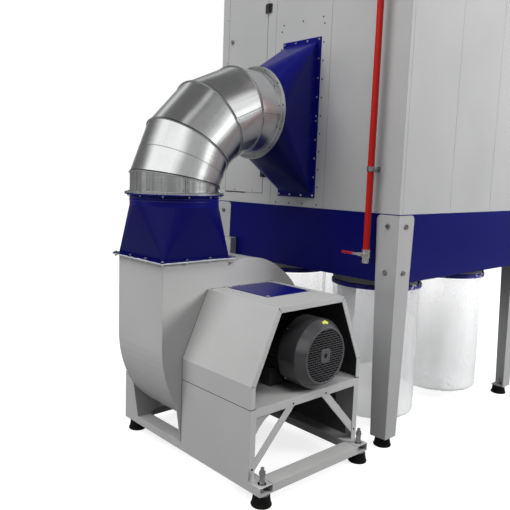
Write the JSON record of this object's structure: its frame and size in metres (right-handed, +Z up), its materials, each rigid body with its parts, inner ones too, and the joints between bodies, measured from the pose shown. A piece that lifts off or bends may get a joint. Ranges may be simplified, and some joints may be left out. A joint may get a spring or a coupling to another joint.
{
  "type": "sawdust extractor",
  "caption": "Wood dust extractor: radial fan on a base frame, galvanised elbow, and a panelled filter housing with clear collection bags below.",
  "frame": {"origin": "on the floor under the middle of the near front foot of the fan base: at the motor end, on the side away from the housing", "axes": "+X along the fan shaft from scroll to motor, +Y from the fan into the housing, +Z up"},
  "size_m": [1.464, 2.525, 3],
  "materials": {
    "grey_paint": "satin powder coat",
    "panel_paint": "satin powder coat",
    "blue_paint": "gloss powder coat",
    "galvanised": "galvanised sheet with long soft reflections",
    "motor_paint": "satin dark grey paint",
    "rubber_black": "matt",
    "zinc_steel": "zinc plated",
    "wheel_paint": "satin",
    "clear_film": "clear plastic film",
    "red_paint": "gloss",
    "black_plastic": "fine grain",
    "valve_brass": "nickel plated"
  },
  "bodies": {
    "root": {"rail_near": "grey_paint", "rail_far": "grey_paint", "cross_rail_front": "grey_paint", "cross_rail_rear": "grey_paint", "fan_feet": "rubber_black", "fan_foot_studs": "zinc_steel", "bay_side_near": "grey_paint", "bay_side_far": "grey_paint", "motor_deck": "grey_paint", "diagonal_braces": "grey_paint", "motor_hood": "grey_paint", "cover_plate": "blue_paint", "rear_posts": "grey_paint", "scroll_wrapper": "grey_paint", "scroll_plate_motor": "grey_paint", "scroll_plate_inlet": "grey_paint", "inlet_collar": "grey_paint", "impeller": "wheel_paint", "motor_body": "motor_paint", "motor_cowl": "motor_paint", "motor_terminal_box": "motor_paint", "outlet_flange": "grey_paint", "reducer": "blue_paint", "reducer_collar": "blue_paint", "elbow_gore_1": "galvanised", "elbow_gore_2": "galvanised", "elbow_gore_3": "galvanised", "elbow_gore_4": "galvanised", "elbow_gore_5": "galvanised", "transition": "blue_paint", "door_frame": "panel_paint", "front_panel_mid": "panel_paint", "front_panel_right": "panel_paint", "end_panels_right": "panel_paint", "end_panels_left": "panel_paint", "rear_panels": "panel_paint", "corner_posts": "panel_paint", "roof": "panel_paint", "skirt_front": "blue_paint", "skirt_rear": "blue_paint", "skirt_right": "blue_paint", "skirt_left": "blue_paint", "hopper_floor": "blue_paint", "bag_collars": "blue_paint", "bags_front": "clear_film", "bags_rear": "clear_film", "housing_legs": "panel_paint", "housing_feet": "rubber_black", "housing_foot_studs": "zinc_steel", "door_hinges": "black_plastic", "sprinkler_pipe": "red_paint", "pipe_clamps": "zinc_steel", "ball_valve": "valve_brass", "terminal_box": "grey_paint"},
    "door": {"access_door": "panel_paint", "door_leaves": "black_plastic", "door_locks": "zinc_steel"},
    "lever": {"valve_lever": "red_paint"}
  },
  "joints": [
    {"name": "door_swing", "type": "hinge", "parent": "root", "child": "door", "pos_m": [-0.984, 0.877, 1.929], "axis": [0, 0, 1], "range_deg": [0, 80]},
    {"name": "valve_turn", "type": "hinge", "parent": "root", "child": "lever", "pos_m": [-0.137, 0.796, 1.035], "axis": [0, -1, 0], "range_deg": [0, 90]}
  ]
}
